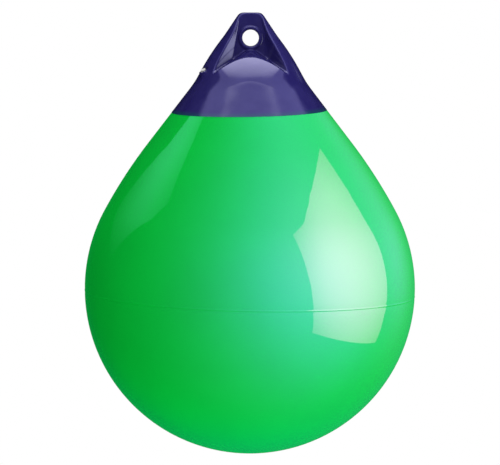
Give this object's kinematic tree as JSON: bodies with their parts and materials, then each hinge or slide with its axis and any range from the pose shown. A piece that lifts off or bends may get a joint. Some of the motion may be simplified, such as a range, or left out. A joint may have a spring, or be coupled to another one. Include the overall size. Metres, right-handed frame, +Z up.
{
  "type": "inflatable marine buoy",
  "caption": "Inflatable teardrop marine buoy: a round hollow vinyl float that narrows to a solid rope hold with a cross-drilled rope eye and a screw-plug air valve.",
  "frame": {"origin": "centre of the rope eye, on the float's axis and midway through the lug", "axes": "+Z up along the float's axis, +Y along the rope eye from front to back, +X to the right in the picture"},
  "size_m": [0.6878, 0.6876, 0.914],
  "materials": {
    "float_vinyl": "gloss",
    "hold_vinyl": "gloss",
    "valve_nylon": "satin",
    "seal_rubber": "matte"
  },
  "bodies": {
    "buoy": {"float_shell": "float_vinyl", "rope_hold": "hold_vinyl", "valve_insert": "valve_nylon"},
    "seal": {"valve_seal": "seal_rubber"},
    "plug": {"valve_plug": "valve_nylon"}
  },
  "joints": [
    {"name": "valve_seal_lift", "type": "slide", "parent": "buoy", "child": "seal", "axis": [-0.3473, -0.1403, 0.9272], "range_m": [0, 0.0125]},
    {"name": "valve_plug_turn", "type": "hinge", "parent": "seal", "child": "plug", "pos_m": [-0.09592, -0.03875, -0.067], "axis": [-0.3473, -0.1403, 0.9272], "range_deg": [0, 1800]}
  ],
  "couplings": [
    {"joint": "valve_plug_turn", "follows": "valve_seal_lift", "rad_per_m": 2513.3}
  ]
}
